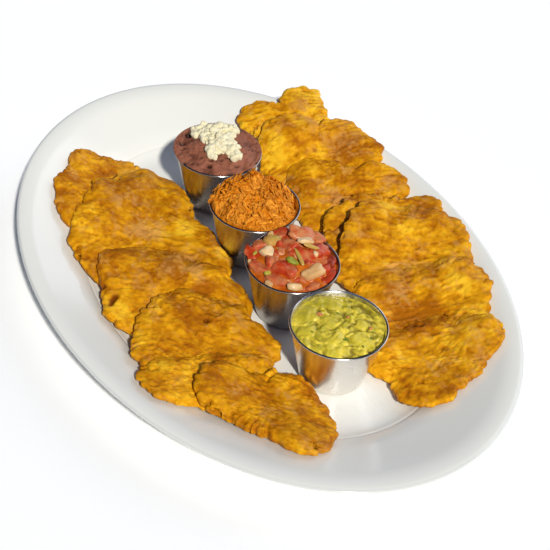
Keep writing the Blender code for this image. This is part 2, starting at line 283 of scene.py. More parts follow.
def polished_steel():
    """Spun and polished stainless: a mirror whose fine polishing lines run round the cup, so that its
    highlights stretch up and down the wall, and faint smudges where it was held. A dark line painted
    on the bead stands in for shade and dark reflection, and the darker steel for darker reflections."""
    material, tree, place = new_finish("polished_steel", Metallic=1.0, Anisotropic=0.7,
                                       Anisotropic_Rotation=0.25)
    smudge = add(tree, "TexNoise", {"Vector": place, "Scale": 70.0, "Detail": 3.0})
    # steel painted darker on some cups, standing in for the darker reflections they show
    darker_steel = add(tree, "Mix", {0: smudge, 6: "BEBAB8", 7: "ACA8A6"}, 2, data_type="RGBA")
    painted_darkness = add(tree, "Attribute", out="Fac", attribute_name="painted_darkness")
    painted_rim_shade = add(tree, "Attribute", out="Fac", attribute_name="painted_rim_shade")
    around = add(tree, "Mapping", {"Vector": place, "Scale": (40, 40, 1400)})
    lines = add(tree, "TexNoise", {"Vector": around, "Scale": 1.0, "Detail": 2.0})
    dents = add(tree, "TexNoise", {"Vector": place, "Scale": 60.0, "Detail": 1.0})
    relief = add(tree, "Math", {0: lines, 1: 0.12, 2: dents}, operation="MULTIPLY_ADD")
    rough = add(tree, "MapRange", {0: smudge, 1: 0.3, 2: 0.7, 3: 0.2, 4: 0.32})
    # the last coat is a dark line painted on the bead's top, as shade and dark reflection
    coats = (smudge, "E6E2DD"), (painted_darkness, darker_steel), (painted_rim_shade, "4E463E")
    return dressed(material, "F2EEE9", coats, relief, 0.12, 0.0012, rough)


steel = polished_steel()
for filling, cup in cups.items():
    rings, painted_rim_shade = cup_rings(cup)
    shell = skins("steel_cup_" + filling, [rings], steel, {"painted_rim_shade": [painted_rim_shade], "painted_darkness": [CUP_PAINTED_DARKNESS[filling]]})
    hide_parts("cup_" + filling)


# Refried beans. Mashed black beans, spooned in and pressed down to a low dome that runs over the rim
# in places; the mash is dense and slightly moist, with pits and tears where it was scraped.

FILLING_SIDES = 220
FILLING_ROWS = 72             # from the middle of a filling's top to the wall
WALL_BITE = 0.1               # how far a filling enters the cup's wall, so that no gap shows
OVER_RIM = (2.4, 1.5)         # how far out and up a filling goes where it runs over the rim
RISE_FROM = 26.5              # how far from the cup's axis that rise begins
LATTICE = 32                  # the noise repeats after so many cells
slopes = np.random.default_rng(11).normal(size=(LATTICE, LATTICE, LATTICE, 3))
slopes /= np.linalg.norm(slopes, axis=-1, keepdims=True)


def noise(points, size, seed=0):
    """Gradient noise from about -1 to 1 on points (..., 3), with features about one size across: at
    each corner of a cell a random slope is taken, and the eight are blended by a smooth curve."""
    place = points / size + seed * np.array([5.13, 9.71, 3.37])
    cell = np.floor(place).astype(int)
    t = place - cell
    blend = t * t * t * (t * (t * 6.0 - 15.0) + 10.0)
    total = 0.0
    for corner in np.ndindex(2, 2, 2):
        index = (cell + corner) % LATTICE
        slope = slopes[index[..., 0], index[..., 1], index[..., 2]]
        weight = np.prod(np.where(corner, blend, 1.0 - blend), axis=-1)
        total = total + weight * np.sum(slope * (t - corner), axis=-1)
    return total * 1.6


def folded(points, size, seed, level):
    """Noise whose valleys are folded up into creases, measured from a level."""
    return np.abs(noise(points, size, seed)) - level


def raised(rings, height):
    """A skin's rings moved out by a height along their normals, each the cross product of the grid's
    two directions there."""
    around = np.roll(rings, -1, axis=1) - np.roll(rings, 1, axis=1)
    normal = np.cross(np.gradient(rings, axis=0), around)
    normal /= np.maximum(np.linalg.norm(normal, axis=-1, keepdims=True), 1e-9)
    return rings + normal * height[..., None]


def mound_height(cup, shape, x, y):
    """Top of a heap at a place from the cup's axis: a blunt dome over a level, leaning to one side."""
    level, heap, blunt, lean = shape
    share = np.clip(np.hypot(x, y) / (CUP_TOP_RADIUS - 2.0), 0.0, 1.0)
    dome = (1.0 - share**blunt) * heap
    return cup["top"] + level + dome * (1.0 + 2.0 * (lean[0] * x + lean[1] * y) / CUP_TOP_RADIUS)


def filling_rings(cup, shape, over=0.0):
    """A filling as rings: its dome out to the wall, and over it where over is above 0, then down just
    inside the wall to the cup's floor."""
    level = CUP_HEIGHT + shape[0]
    angle = turns(FILLING_SIDES)
    edge = cup_radius(level) - CUP_WALL + WALL_BITE + OVER_RIM[0] * over
    radius = np.linspace(0.0, 1.0, FILLING_ROWS)[:, None] * edge
    x, y = polar(radius, angle)
    z = mound_height(cup, shape, x, y) + OVER_RIM[1] * over * smooth_step((radius - RISE_FROM) / 2.0)
    rings = [as_points(x, y, z)]
    floor = CUP_WALL + 0.2
    for height, inset in ((level - 1.2, 0.0), (level - 4.0, 0.0), (20.0, 0.0), (4.0, 0.0), (floor, 2.0)):
        x, y = polar(cup_radius(height) - CUP_WALL + WALL_BITE - inset, angle)
        rings.append(as_points(x, y, cup["base"] + height)[None])
    rings.append(np.zeros((1, FILLING_SIDES, 3)) + (0.0, 0.0, cup["base"] + floor))
    return np.concatenate(rings) + (cup["x"], cup["y"], 0.0)


def near(spot, x, y):
    """1 at a spot, given as x, y and radius first, falling by a bell curve to 0.37 at its radius."""
    return np.exp(-((x - spot[0]) ** 2 + (y - spot[1]) ** 2) / spot[2] ** 2)


def exposed(rings, fade=3):
    """1 on a filling's open top, falling to 0 over its last rows before the cup's wall and below."""
    row = np.arange(len(rings))[:, None] + np.zeros(rings.shape[:2])
    return smooth_step((FILLING_ROWS - 1 - row) / fade)


def mashed_beans():
    """Cooked bean paste: brown-purple, soft and dense, with a low broken sheen, darker skins, and painted
    shade in its pits, scrapes and low places.
    """
    material, tree, place = new_finish("mashed_beans", IOR=1.4, Specular_IOR_Level=0.35)
    painted_hollow_shade = add(tree, "Attribute", out="Fac", attribute_name="painted_hollow_shade")
    patch = add(tree, "TexNoise", {"Vector": place, "Scale": 260.0, "Detail": 4.0})
    fleck = add(tree, "TexNoise", {"Vector": place, "Scale": 900.0, "Detail": 2.0})
    dark = add(tree, "MapRange", {0: fleck, 1: 0.6, 2: 0.7, 4: 0.55})
    rough = add(tree, "MapRange", {0: patch, 1: 0.3, 2: 0.7, 3: 0.45, 4: 0.65})
    coats = (patch, "A2644C"), (dark, "4A2318"), (painted_hollow_shade, "30130B")
    return dressed(material, "7E4A34", coats, fleck, 0.4, 0.0006, rough)


# level at the wall from the cup's top, height of the heap, how blunt it is, and where it leans
BEANS = (-0.8, 5.0, 2.0, (0.0, 0.0))
# x, y, radius and depth
BEAN_SCRAPES = ((-23.5, -11.0, 2.6, 4.0), (-16.3, -19.9, 1.6, 3.6), (-10.0, -23.4, 1.6, 2.2),
                (11.5, -12.0, 1.5, 3.6), (15.8, -15.0, 1.5, 4.0), (28.0, -5.0, 1.4, 2.6),
                (22.7, 2.2, 1.6, 2.2), (17.0, 1.2, 1.2, 1.8), (14.6, -5.5, 1.2, 1.6),
                (-6.0, -17.0, 2.0, 1.2))

cup = cups["beans"]
angle = turns(FILLING_SIDES)
over_rim = smooth_step((np.cos(angle - np.radians(148.0)) + 0.8) / 0.2)
over_rim *= 0.75 + 0.25 * np.cos(angle - np.radians(200.0))
rings = filling_rings(cup, BEANS, over_rim)
open_top = exposed(rings)
x, y = rings[..., 0] - cup["x"], rings[..., 1] - cup["y"]
scrape = sum(spot[3] * near(spot, x, y) for spot in BEAN_SCRAPES)
lumps = 1.1 * noise(rings, 9.0, 1) + 0.9 * folded(rings, 4.6, 5, 0.3) + 0.5 * folded(rings, 2.3, 6, 0.3)
pits = smooth_step((noise(rings, 2.4, 2) - 0.42) / 0.25) * smooth_step(noise(rings, 11.0, 3) + 0.7)
rings = raised(rings, open_top * (lumps - 1.3 * pits - scrape))
# painted shade: darker in pits, scrapes and low places
painted_hollow_shade = open_top * np.clip(0.75 * pits + 0.4 * scrape - 0.7 * lumps, 0.0, 1.0)
beans = skins("refried_bean_mash", [rings], mashed_beans(), {"painted_hollow_shade": [painted_hollow_shade]})
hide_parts("refried_beans")


# Crumbled cheese. Fresh white cheese broken by hand over the beans: ivory crumbs 2 to 8 mm across,
# heaped on a core of the same cheese and loose at the edges.

# x, y, radius and height of its small heaps
CHEESE_SPOTS = ((-13.0, 7.0, 12.0, 4.6), (-23.0, -4.0, 6.0, 2.2), (-16.0, 16.0, 7.0, 3.0),
                (-9.0, -3.0, 6.5, 2.6), (4.0, -4.0, 6.0, 2.4), (0.0, 6.0, 8.0, 3.4), (8.5, 5.5, 6.0, 2.2),
                (14.0, 4.2, 4.2, 1.4), (8.0, -8.5, 3.0, 1.0), (-25.0, 3.0, 4.0, 1.8))


def swollen(points, share):
    """Points moved away from the origin by a share of their distance."""
    return points * (1.0 + share)[..., None]


def lump(half, power=2.0, rings=8, sides=11):
    """A rounded block as rings: directions on a sphere, each divided by its p-norm, which gives a
    ball at p = 2 and nearly a box at p = 6, times three half-sizes."""
    polar_angle = np.linspace(0.0, np.pi, rings)[:, None]
    way = as_points(*polar(np.sin(polar_angle), turns(sides)), np.cos(polar_angle))
    return way / np.sum(np.abs(way) ** power, axis=-1, keepdims=True) ** (1.0 / power) * half


def turned(points, heading, tilt=0.0, roll=0.0):
    """Points rolled about X, then tilted about Y, then turned about Z, by angles in radians."""
    turn = Matrix.Rotation(heading, 3, "Z") @ Matrix.Rotation(tilt, 3, "Y") @ Matrix.Rotation(roll, 3, "X")
    return points @ np.array(turn).T


def fresh_cheese():
    """Fresh curd cheese: matt ivory with a little light passing through it, paler in soft patches."""
    material, tree, place = new_finish("fresh_cheese", Roughness=0.62, IOR=1.4, Subsurface_Weight=0.2,
                                       Subsurface_Radius=(1.0, 0.85, 0.55), Subsurface_Scale=0.002)
    patch = add(tree, "TexNoise", {"Vector": place, "Scale": 330.0, "Detail": 3.0})
    grain = add(tree, "TexNoise", {"Vector": place, "Scale": 1400.0, "Detail": 2.0})
    return dressed(material, "DFD3A8", [(patch, "EAE2C6")], grain, 0.2, 0.0004)


random = np.random.default_rng(5)
crumbs = []
for spot_x, spot_y, reach, heap in CHEESE_SPOTS:
    base = mound_height(cup, BEANS, spot_x, spot_y)
    core = lump((0.95 * reach, 0.95 * reach, 0.8 * heap), rings=24, sides=40)
    core = swollen(core, 0.25 * folded(core, 3.2, len(crumbs), 0.3))
    crumbs.append(core + (cup["x"] + spot_x, cup["y"] + spot_y, base))
    for _ in range(int(reach**2 * 0.22) + 3):
        share, heading = np.sqrt(random.uniform()), random.uniform(0.0, 2.0 * np.pi)
        x, y = spot_x + reach * share * np.cos(heading), spot_y + reach * share * np.sin(heading)
        half = random.uniform(1.0, 3.2) * random.uniform(0.7, 1.3, 3)
        crumb = lump(half, random.uniform(2.2, 4.5), rings=12, sides=16)
        crumb = swollen(crumb, 0.4 * noise(crumb, 3.0, random.integers(99)))
        crumb = turned(crumb, *random.uniform(0.0, 2.0 * np.pi, 3))
        z = mound_height(cup, BEANS, x, y) + 0.9 * heap * np.sqrt(max(1.0 - share**2, 0.0))
        crumbs.append(crumb + (cup["x"] + x, cup["y"] + y, z + 0.05 * half.min()))
cheese = skins("cheese_crumbs", crumbs, fresh_cheese())
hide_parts("crumbled_cheese")


# Shredded meat. Stewed meat pulled to strings 1 to 2 mm thick in an orange sauce, heaped high over
# the cup's rim. The strings lie on a core of the same meat, painted dark between them as shade.

MEAT = (-2.4, 10.6, 4.4, (-0.12, 0.05))            # level, heap, bluntness and lean, as for the beans
MEAT_BUNDLES = 270            # of two to five strings each
MEAT_REACH = 28.3             # how far from the cup's axis a bundle may lie
# x, y, radius and height of its hollows and peaks
MEAT_SHAPES = ((-20.5, -1.5, 4.0, -6.0), (-15.0, 6.0, 5.5, 2.5), (-15.0, -17.0, 5.0, -3.0),
               (14.0, -16.0, 7.0, 1.5), (8.0, 25.0, 8.0, -4.0), (21.0, 17.0, 8.0, -3.0),
               (-15.0, -25.0, 10.0, 4.0), (24.0, -14.0, 9.0, 2.0), (-28.0, 4.0, 8.0, 2.0))
# x, y and radius of places where no string lies
MEAT_GAPS = ((-21.0, -3.0, 4.5), (-19.0, -15.0, 4.0), (-10.0, -21.0, 3.5), (-24.0, 5.0, 3.0),
             (9.0, 26.0, 4.0))


def keep_in_cup(points, cup):
    """Points under the rim that would cross the wall, and any far outside it, move towards the axis."""
    away = points[..., :2] - (cup["x"], cup["y"])
    within = cup_radius(points[..., 2] - cup["base"]) - CUP_WALL - 0.3
    over = smooth_step((points[..., 2] - cup["top"]) / 0.8)
    most = within * (1.0 - over) + (CUP_TOP_RADIUS + 1.0) * over
    pull = np.minimum(most / np.maximum(np.linalg.norm(away, axis=-1), 1e-6), 1.0)[..., None]
    points[..., :2] = (cup["x"], cup["y"]) + away * pull
    return points


def strand(length, width, bow, kink, rows=13, sides=7):
    """A tapered string along X as rings: its middle line bows to one side and kinks upwards, and a
    flat oval section is carried along it, narrowing to a point at both ends."""
    s = np.linspace(-0.5, 0.5, rows)
    line = as_points(s * length, bow * length * (s**2 - 0.08), kink * length * np.sin(s * 5.0))
    back = -np.gradient(line, axis=0)
    back /= np.linalg.norm(back, axis=-1, keepdims=True)
    side = np.cross(back, (0.0, 0.0, 1.0))
    side /= np.linalg.norm(side, axis=-1, keepdims=True)
    rise = np.cross(back, side)
    half = width / 2 * np.sqrt(np.clip(1.0 - np.abs(2.0 * s) ** 3, 0.0, 1.0))[:, None, None]
    angle = turns(sides)[None, :, None]
    return line[:, None] + half * (np.cos(angle) * side[:, None] + 0.7 * np.sin(angle) * rise[:, None])


def anywhere(random, reach):
    """x and y of a random place within a reach of the middle, evenly spread."""
    share, way = np.sqrt(random.uniform()), random.uniform(0.0, 2.0 * np.pi)
    return polar(reach * share, way)


def sauced_meat():
    """Meat strings glazed with oily orange sauce, moist: painted paler on high strings and clumps and
    darker in gaps and hollows, as light and shade.
    """
    material, tree, place = new_finish("sauced_meat", IOR=1.42, Specular_IOR_Level=0.22,
                                       Specular_Tint=linear("FFC878"))
    tint = add(tree, "Attribute", out="Fac", attribute_name="tint")
    patch = add(tree, "TexNoise", {"Vector": place, "Scale": 130.0, "Detail": 3.0})
    sauce = add(tree, "MapRange", {0: patch, 1: 0.45, 2: 0.65, 4: 0.6})
    fibre = add(tree, "TexNoise", {"Vector": place, "Scale": 1300.0, "Detail": 2.0})
    rough = add(tree, "MapRange", {0: patch, 1: 0.35, 2: 0.65, 3: 0.35, 4: 0.6})
    coats = (tint, "F0A034"), (sauce, "D87C08")
    return dressed(material, "944600", coats, fibre, 0.35, 0.0004, rough)


def meat_top(x, y):
    """The heap's own top: the dome, with its hollows and peaks, lumpy at 13 mm."""
    shapes = sum(spot[3] * near(spot, x, y) for spot in MEAT_SHAPES)
    shapes = shapes + 2.0 * noise(as_points(x, y, 0.0), 13.0, 21)
    fade = smooth_step((CUP_TOP_RADIUS + 1.0 - np.hypot(x, y)) / 4.0)
    return mound_height(cups["meat"], MEAT, x, y) + fade * shapes


cup = cups["meat"]
over_rim = 0.6 * smooth_step((np.cos(turns(FILLING_SIDES) - np.radians(232.0)) - 0.3) / 0.5)
core = filling_rings(cup, MEAT, over_rim)
x, y = core[..., 0] - cup["x"], core[..., 1] - cup["y"]
top = exposed(core, 6)
clumps = 2.0 * folded(core, 4.5, 4, 0.25) + 1.3 * folded(core, 2.4, 24, 0.25) + 0.5 * noise(core, 1.3, 25)
bare = sum(near(gap, x, y) for gap in MEAT_GAPS)
core[..., 2] += top * (meat_top(x, y) - mound_height(cup, MEAT, x, y) - 2.2 * bare + clumps)
random = np.random.default_rng(8)
# the core's tint is painted light on clumps and dark in gaps and hollows, as light and shade
strings, tints = [core], [np.clip(top * (0.58 + 0.45 * clumps - 0.8 * bare), 0.0, 1.0)]
for _ in range(MEAT_BUNDLES):
    x, y = anywhere(random, MEAT_REACH)
    if random.uniform() < max(near(gap, x, y) for gap in MEAT_GAPS):
        continue                  # a gap stays open in its middle and fills up towards its edge
    slope_x = float(meat_top(x + 2.0, y) - meat_top(x - 2.0, y)) / 4.0
    slope_y = float(meat_top(x, y + 2.0) - meat_top(x, y - 2.0)) / 4.0
    heading, tilt = random.uniform(0.0, 2.0 * np.pi), random.normal(0.0, 0.3)
    lift = random.uniform(-1.0, 0.1 + 0.8 * smooth_step((8.0 - y) / 24.0))
    for _ in range(random.integers(2, 6)):
        string = strand(random.uniform(4.0, 9.0), random.uniform(1.1, 2.2),
                        random.normal(0.0, 1.1), random.normal(0.0, 0.2))
        string = swollen(string, 0.3 * noise(string, 1.7, random.integers(99)))
        string = turned(string, heading + random.normal(0.0, 0.6), tilt + random.normal(0.0, 0.25),
                        random.uniform(-1.0, 1.0))
        string += (*random.normal(0.0, 1.3, 2), lift + random.normal(0.0, 0.4))
        string[..., 2] += slope_x * string[..., 0] + slope_y * string[..., 1]
        strings.append(keep_in_cup(string + (cup["x"] + x, cup["y"] + y, float(meat_top(x, y))), cup))
        # higher strings are painted paler, as light
        tints.append(np.clip(0.56 + 0.25 * lift + random.normal(0.0, 0.18), 0.0, 1.0))
meat = skins("shredded_meat_strings", strings, sauced_meat(), {"tint": tints})
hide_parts("shredded_meat")


# Pico de gallo. Tomato, onion, green chilli and herbs cut by hand to dice 5 to 19 mm long, wet with
# their own orange-red juice, which stands 3 mm under the rim, and heaped towards the next cup.

PICO = (-3.5, 9.0, 2.2, (-0.30, 0.28))
DICE_REACH = 25.0             # how far from the cup's axis an extra piece may lie
# middle from the cup's axis and above its rim, half-sizes, heading and tilt in degrees, and how pale
TOMATO = (
    (-17.5, -21.0, -1.8, 6.0, 5.0, 3.0, 40, 10, 0.3), (-21.0, -11.0, -0.5, 6.5, 4.5, 3.5, 60, -12, 0.5),
    (5.5, -9.0, 0.3, 8.0, 5.5, 4.0, 33, 5, 0.45), (0.5, 6.0, 2.0, 9.5, 4.5, 4.0, 35, 14, 0.4),
    (-14.5, 14.5, 5.2, 8.5, 6.0, 4.5, 60, 10, 0.9), (0.0, 20.0, 0.8, 7.0, 5.5, 4.0, 100, 20, 0.35),
    (-4.5, -21.5, -1.9, 7.0, 5.0, 2.6, 25, 5, 0.7), (9.5, -17.5, -2.2, 7.0, 4.5, 2.6, 20, 0, 0.85),
    (9.0, 21.5, -2.4, 6.5, 5.0, 3.0, 130, 8, 0.0), (20.0, 16.0, -3.0, 7.0, 5.0, 2.4, 80, 4, 0.1),
    (-24.0, 6.0, 0.5, 6.0, 5.0, 4.0, 100, 0, 0.45), (-9.0, 3.5, 3.0, 6.0, 5.0, 4.5, 10, -14, 0.75),
    (-4.0, -13.0, 0.6, 6.0, 4.5, 3.5, 150, 12, 0.65), (-12.0, 24.0, 1.0, 6.0, 4.5, 3.5, 15, 0, 0.8),
    (22.5, 1.0, -3.4, 5.5, 5.0, 2.2, 95, 0, 0.6), (12.5, 13.0, -1.2, 6.0, 4.5, 3.2, 60, 0, 0.2),
)
ONION = (
    (-11.8, -11.9, 2.0, 4.6, 4.2, 3.2, 20, 16, 0.9), (15.6, 6.0, 0.4, 8.0, 4.2, 3.2, 98, -6, 0.4),
    (20.0, -10.5, -1.8, 5.0, 3.8, 2.4, 60, 0, 0.5), (-9.5, -25.2, -1.6, 3.8, 2.2, 1.2, 10, 8, 0.2),
    (-6.5, 12.5, 8.2, 5.5, 3.2, 1.4, 80, 12, 1.0), (-26.0, 0.0, 0.8, 3.6, 3.0, 2.5, 30, 0, 0.3),
    (12.0, -24.5, -2.4, 3.5, 2.6, 1.6, 140, 0, 0.2), (3.0, 15.0, 4.0, 3.2, 2.0, 1.4, 140, 20, 0.7),
)
CHILLI = (                    # its pale green strips, and bits of herb
    (3.6, -2.5, 4.0, 4.4, 3.0, 1.3, 30, 12, 0.0), (2.5, 2.3, 5.6, 8.5, 1.2, 1.0, -8, 6, 0.7),
    (-10.6, -4.0, 3.4, 4.6, 1.6, 1.0, 50, -10, 0.6), (4.0, -21.0, 0.4, 2.2, 1.4, 0.9, 80, 0, 0.2),
    (-1.0, 13.5, 7.0, 6.0, 1.4, 1.1, 65, 22, 0.9), (-18.5, -4.5, 3.4, 6.0, 4.8, 3.4, 70, 10, 1.0),
    (-16.0, -18.5, 0.6, 3.0, 1.3, 0.9, 120, 0, 0.3),
)


def dice(pieces, power, seed, extra, sizes):
    """Diced pieces as stacks of rings: blocks with softened corners and uneven faces, at their given
    places, then extra small ones scattered over the heap and half sunk in it."""
    random = np.random.default_rng(seed)
    cup = cups["pico"]
    given = [(x, y, z, (a, b, c), np.radians(heading), np.radians(tilt), pale)
             for x, y, z, a, b, c, heading, tilt, pale in pieces]
    for _ in range(extra):
        x, y = anywhere(random, DICE_REACH)
        half = random.uniform(*sizes, 3)
        sunk = mound_height(cup, PICO, x, y) - cup["top"] - half.mean() - 0.8
        heading, tilt = random.uniform(0.0, 3.1), random.normal(0.0, 0.4)
        given.append((x, y, sunk, half, heading, tilt, random.uniform(0.0, 1.0)))
    stacks, tints = [], []
    for x, y, z, half, heading, tilt, pale in given:
        block = lump(np.array(half), power, rings=22, sides=32)
        taper = 1.0 + random.uniform(-0.3, 0.3) * block[..., 0] / half[0]
        skew = random.uniform(-0.35, 0.35) * block[..., 2]
        block = as_points(block[..., 0] + skew, block[..., 1] * taper, block[..., 2] * (1.5 - 0.5 * taper))
        swell = 0.2 * noise(block, 5.0, random.integers(99)) + 0.07 * noise(block, 2.2, random.integers(99))
        block = turned(swollen(block, swell), heading, tilt, random.normal(0.0, 0.25))
        stacks.append(keep_in_cup(block + (cup["x"] + x, cup["y"] + y, cup["top"] + z), cup))
        tints.append(pale)
    return stacks, tints


def wet_flesh(name, dark, mid, pale, scale, clear):
    """Cut vegetable flesh, wet and partly clear: a smooth gloss, three tones from the piece's own
    paleness shifted by soft patches of the given scale, and light scattered just under the surface."""
    material, tree, place = new_finish(
        name, Roughness=0.28, IOR=1.36, Specular_IOR_Level=0.35, Subsurface_Weight=clear,
        Subsurface_Radius=(1.0, 0.45, 0.25), Subsurface_Scale=0.003)
    tint = add(tree, "Attribute", out="Fac", attribute_name="tint")
    patch = add(tree, "TexNoise", {"Vector": place, "Scale": scale, "Detail": 3.0})
    paleness = add(tree, "Math", {0: patch, 1: 2.2, 2: tint}, operation="MULTIPLY_ADD")
    first = add(tree, "MapRange", {0: paleness, 1: 0.8, 2: 1.45})
    second = add(tree, "MapRange", {0: paleness, 1: 1.4, 2: 2.15})
    cells = add(tree, "TexNoise", {"Vector": place, "Scale": 700.0, "Detail": 2.0})
    return dressed(material, dark, [(first, mid), (second, pale)], cells, 0.2, 0.0004)


cup = cups["pico"]
juice = filling_rings(cup, (PICO[0] + 0.3, PICO[1] - 1.5, PICO[2], PICO[3]))
juice = raised(juice, exposed(juice) * 0.9 * noise(juice, 5.0, 9))
salsa = skins("pico_juice", [juice], wet_flesh("tomato_juice", "98440E", "BC5C10", "D08030", 120.0, 0.1),
              {"tint": [0.3]})
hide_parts("pico_de_gallo")
# name, placed pieces, how square they are, seed, how many extra ones and their half-sizes, and flesh
CUTS = (
    ("tomato_dice", TOMATO, 4.6, 60, 54, (2.2, 5.0),
     ("tomato_flesh", "802A10", "B63A18", "C47A4C", 170.0, 0.1)),
    ("onion_dice", ONION, 3.6, 61, 10, (1.4, 2.6),
     ("onion_flesh", "B8824A", "D2A872", "E4C698", 170.0, 0.15)),
    ("chilli_strips", CHILLI, 2.6, 62, 12, (0.6, 1.8),
     ("chilli_flesh", "6E7C0C", "A8A03C", "BC9048", 200.0, 0.1)),
)
for name, pieces, power, seed, extra, sizes, flesh in CUTS:
    stacks, tints = dice(pieces, power, seed, extra, sizes)
    skins(name, stacks, wet_flesh(*flesh), {"tint": tints})


# Guacamole. Ripe avocado crushed with a fork, so soft lumps 4 to 10 mm across press together with
# creases between them, with a few bits of tomato and herb. It stands about 3 mm under the rim.

GUACAMOLE = (-3.2, 1.8, 2.4, (0.10, -0.05))
# x, y, radius, height and shade of the larger lumps
GUACAMOLE_LUMPS = ((-18.5, -12.5, 8.5, 1.0, 0.4), (9.0, -8.0, 7.5, 1.2, 0.8), (4.2, 13.9, 4.0, 0.9, 1.0),
                   (-6.0, -4.0, 6.0, 0.6, 0.6), (18.0, 6.0, 6.0, 0.9, 0.7), (-20.0, 9.0, 6.5, 0.9, 0.5),
                   (18.5, -14.0, 6.0, 0.8, 0.9), (-4.0, -20.0, 6.0, 0.6, 0.5))


def crushed(rings, cup):
    """Height and shade of crushed flesh: noise whose valleys are folded into creases, at 9, 5 and
    3 mm, on places pushed about by softer noise, and a few larger smooth lumps."""
    pushed = rings + 2.5 * as_points(noise(rings, 8.0, 31), noise(rings, 8.0, 32), 0.0)
    folds = ((9.0, 33, 2.6), (5.0, 34, 2.2), (2.8, 37, 0.75))
    height = sum(part * folded(pushed, size, seed, 0.28) for size, seed, part in folds)
    height = height + 0.7 * noise(rings, 12.0, 36)
    shade = 0.5 + 0.012 * (rings[..., 0] - cup["x"]) + 0.9 * noise(rings, 5.0, 35)
    shade = np.clip(shade + 0.6 * noise(rings, 2.2, 38), 0.0, 1.0)
    for x, y, reach, rise, own in GUACAMOLE_LUMPS:
        share = np.hypot(pushed[..., 0] - cup["x"] - x, pushed[..., 1] - cup["y"] - y) / reach
        cover = smooth_step((1.0 - share) / 0.25)
        height = height * (1.0 - 0.55 * cover) + cover * rise * (1.2 - share**2)
        shade = shade * (1.0 - 0.6 * cover) + 0.6 * cover * own
    return height, shade


def crushed_avocado():
    """Mashed avocado: buttery yellow-green flesh, glossy where smeared, and painted olive shade in its
    creases.
    """
    material, tree, place = new_finish("crushed_avocado", IOR=1.45, Subsurface_Weight=0.1,
                                       Subsurface_Radius=(1.0, 0.9, 0.3), Subsurface_Scale=0.002)
    painted_hollow_shade = add(tree, "Attribute", out="Fac", attribute_name="painted_hollow_shade")
    tint = add(tree, "Attribute", out="Fac", attribute_name="tint")
    patch = add(tree, "TexNoise", {"Vector": place, "Scale": 170.0, "Detail": 4.0})
    green = add(tree, "MapRange", {0: patch, 1: 0.5, 2: 0.72, 4: 0.6})
    mash = add(tree, "TexNoise", {"Vector": place, "Scale": 650.0, "Detail": 3.0})
    rough = add(tree, "MapRange", {0: patch, 1: 0.3, 2: 0.7, 3: 0.34, 4: 0.55})
    coats = (tint, "E4CC40"), (green, "A09A20"), (painted_hollow_shade, "665404")
    return dressed(material, "A6981A", coats, mash, 0.3, 0.0006, rough)


cup = cups["guacamole"]
rings = filling_rings(cup, GUACAMOLE)
open_top = exposed(rings, 4)
height, shade = crushed(rings, cup)
height = height + 0.15 * noise(rings, 3.0, 15) + 0.075 * noise(rings, 1.5, 22)
rings = raised(rings, open_top * height)
# painted shade: darker olive in the creases
painted_hollow_shade = open_top * smooth_step((-0.35 - height) / 0.8) * 0.75
avocado = skins("guacamole_mash", [rings], crushed_avocado(), {"painted_hollow_shade": [painted_hollow_shade], "tint": [shade]})
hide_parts("guacamole")

# x, y, half-sizes, heading in degrees
TOMATO_BITS = ((-13.9, -5.3, 2.2, 1.4, 1.0, 40), (-4.0, 9.0, 1.2, 0.9, 0.6, 10),
               (10.0, 17.0, 1.3, 1.0, 0.6, 80))
HERB_BITS = ((12.8, -2.8, 2.0, 0.9, 0.35, 70), (10.5, -1.5, 1.4, 0.8, 0.35, 20),
             (16.3, 13.2, 1.2, 0.7, 0.3, 50), (22.0, 4.0, 1.0, 0.5, 0.3, 0),
             (-2.0, -18.0, 1.1, 0.6, 0.3, 30), (-10.0, 5.0, 1.2, 0.5, 0.3, 60))
BITS = (
    ("guacamole_tomato", TOMATO_BITS, ("tomato_bit_flesh", "A8582A", "C07840", "CC9058", 300.0, 0.1)),
    ("guacamole_herbs", HERB_BITS, ("chopped_herb", "3E5208", "5A6E10", "7A8820", 500.0, 0.0)),
)
open_points = rings[:FILLING_ROWS - 12].reshape(-1, 3)       # the open top, clear of the wall
for name, bits, flesh in BITS:
    stacks = []
    for x, y, a, b, c, heading in bits:
        bit = turned(lump((a, b, c), 2.6, rings=8, sides=12), np.radians(heading), 0.15)
        x, y = cup["x"] + x, cup["y"] + y
        nearest = np.argmin(np.hypot(open_points[:, 0] - x, open_points[:, 1] - y))
        stacks.append(bit + (x, y, open_points[nearest, 2] + 0.3 * c))
    skins(name, stacks, wet_flesh(*flesh), {"tint": [0.5] * len(stacks)})


# Tostones. Green plantain cut in long pieces, fried, smashed flat and fried again, so each slice is a
# golden slab with a torn edge, cracks in from it, and fibres that run along the fruit.

# Each slice's middle, thickness, how far its edge leans up against the cups, the share of thickness
# left where its edge lies on another slice (towards the cups, and away), and its reach every 30
# degrees from +X. Each row is laid from the far end (-X), each slice on the one before.
LEFT_ROW = (
    ((-114, -67), 8.0, 0.0, (0.2, 0.2), (34, 33, 35, 43, 46, 40, 42, 31, 32, 35, 44, 47)),
    ((-59, -56), 9.0, 7.0, (0.1, 0.3), (59, 68, 51, 38, 51, 66, 63, 52, 52, 55, 56, 49)),
    ((2, -68), 8.0, 1.0, (0.05, 0.3), (39, 51, 54, 45, 34, 38, 50, 56, 46, 46, 43, 38)),
    ((45, -68), 9.0, 1.0, (0.05, 0.28), (35, 43, 52, 41, 40, 37, 42, 43, 42, 46, 45, 34)),
    ((84, -79), 6.0, 0.0, (0.03, 0.02), (19, 20, 28, 45, 33, 27, 26, 33, 45, 43, 27, 24)),
    ((118, -56), 9.0, 0.0, (0.15, 0.36), (46, 44, 37, 32, 37, 32, 28, 48, 47, 31, 26, 28)),
)
